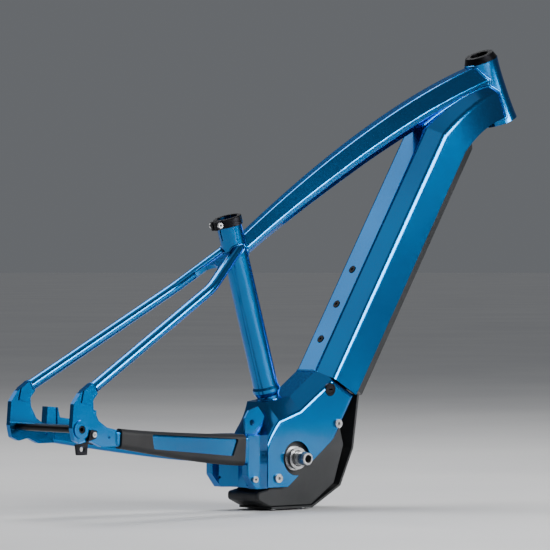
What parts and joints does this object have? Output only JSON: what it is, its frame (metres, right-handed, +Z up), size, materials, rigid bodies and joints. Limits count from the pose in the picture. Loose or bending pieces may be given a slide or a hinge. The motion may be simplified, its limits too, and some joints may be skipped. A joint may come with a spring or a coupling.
{
  "type": "bicycle frame",
  "caption": "Welded aluminium hardtail bicycle frame with a battery inside the down tube, a motor at the crank, tapered head tube, seat clamp and thru axle.",
  "frame": {"origin": "centre of the crank spindle, in the middle plane of the frame", "axes": "+X forward, +Y to the rider's left, +Z up; crank spindle along Y"},
  "size_m": [0.9655, 0.182, 0.7324],
  "materials": {
    "frame_paint": "gloss metallic",
    "black_anodised": "satin anodised",
    "bare_steel": "satin",
    "bearing_steel": "polished",
    "motor_plastic": "matte",
    "battery_plastic": "matte",
    "cover_plastic": "satin",
    "motor_case": "cast, satin",
    "guard_rubber": "matte",
    "seal_rubber": "matte"
  },
  "bodies": {
    "frame": {"head_tube": "frame_paint", "top_tube": "frame_paint", "down_tube": "frame_paint", "seat_tube": "frame_paint", "seat_tube_collar": "frame_paint", "motor_bracket": "frame_paint", "chain_stay_yoke": "frame_paint", "chain_stay_right": "frame_paint", "chain_stay_left": "frame_paint", "seat_stay_right": "frame_paint", "seat_stay_left": "frame_paint", "seat_stay_bridge": "frame_paint", "dropout_right": "frame_paint", "dropout_left": "frame_paint", "brake_mount": "frame_paint", "hose_tab": "frame_paint", "derailleur_hanger": "black_anodised", "hanger_bolt": "bare_steel", "seat_clamp": "black_anodised", "seat_clamp_bolt": "bare_steel", "bottle_bosses": "black_anodised", "chain_stay_guard": "guard_rubber", "headset_upper_cup": "black_anodised", "headset_lower_cup": "black_anodised", "motor_housing": "motor_case", "motor_cover_left": "motor_plastic", "motor_cover_right": "motor_plastic", "skid_plate": "motor_plastic", "skid_screws": "bare_steel", "motor_bolts": "bare_steel", "spindle_bearings": "bearing_steel", "battery_plug": "battery_plastic", "battery_hinge_pin": "bare_steel", "flap_pin": "bare_steel", "battery_lock_body": "black_anodised", "charge_socket": "battery_plastic", "yoke_bolts": "bare_steel", "cable_port": "seal_rubber", "speed_sensor": "motor_plastic"},
    "spindle": {"crank_spindle": "bare_steel"},
    "chainring_drive": {"chainring_sleeve": "bare_steel"},
    "battery": {"battery_pack": "battery_plastic", "battery_cover": "cover_plastic"},
    "lock": {"lock_cylinder": "black_anodised"},
    "port_flap": {"charge_flap": "seal_rubber"},
    "upper_steering": {"headset_upper_race": "bearing_steel", "headset_cover": "black_anodised"},
    "lower_steering": {"headset_lower_race": "bearing_steel"},
    "axle": {"thru_axle": "black_anodised"}
  },
  "joints": [
    {"name": "crank_spin", "type": "hinge", "parent": "frame", "child": "spindle", "pos_m": [0, 0, 0], "axis": [0, 1, 0], "continuous": true},
    {"name": "chainring_spin", "type": "hinge", "parent": "frame", "child": "chainring_drive", "pos_m": [0, -0.04, 0], "axis": [0, 1, 0], "continuous": true},
    {"name": "battery_swing", "type": "hinge", "parent": "frame", "child": "battery", "pos_m": [0.36058, 0, 0.506], "axis": [0, -1, 0], "range_deg": [0, 24]},
    {"name": "lock_turn", "type": "hinge", "parent": "frame", "child": "lock", "pos_m": [0.06895, -0.046, 0.10608], "axis": [0, 1, 0], "range_deg": [0, 90]},
    {"name": "flap_open", "type": "hinge", "parent": "frame", "child": "port_flap", "pos_m": [0.09484, 0.048, 0.09869], "axis": [0, 1, 0], "range_deg": [0, 100]},
    {"name": "upper_race_turn", "type": "hinge", "parent": "frame", "child": "upper_steering", "pos_m": [0.43022, 0, 0.63347], "axis": [-0.3827, 0, 0.9239], "continuous": true},
    {"name": "lower_race_turn", "type": "hinge", "parent": "frame", "child": "lower_steering", "pos_m": [0.47078, 0, 0.53553], "axis": [-0.3827, 0, 0.9239], "continuous": true},
    {"name": "axle_pull", "type": "slide", "parent": "frame", "child": "axle", "axis": [0, 1, 0], "range_m": [0, 0.18]}
  ]
}
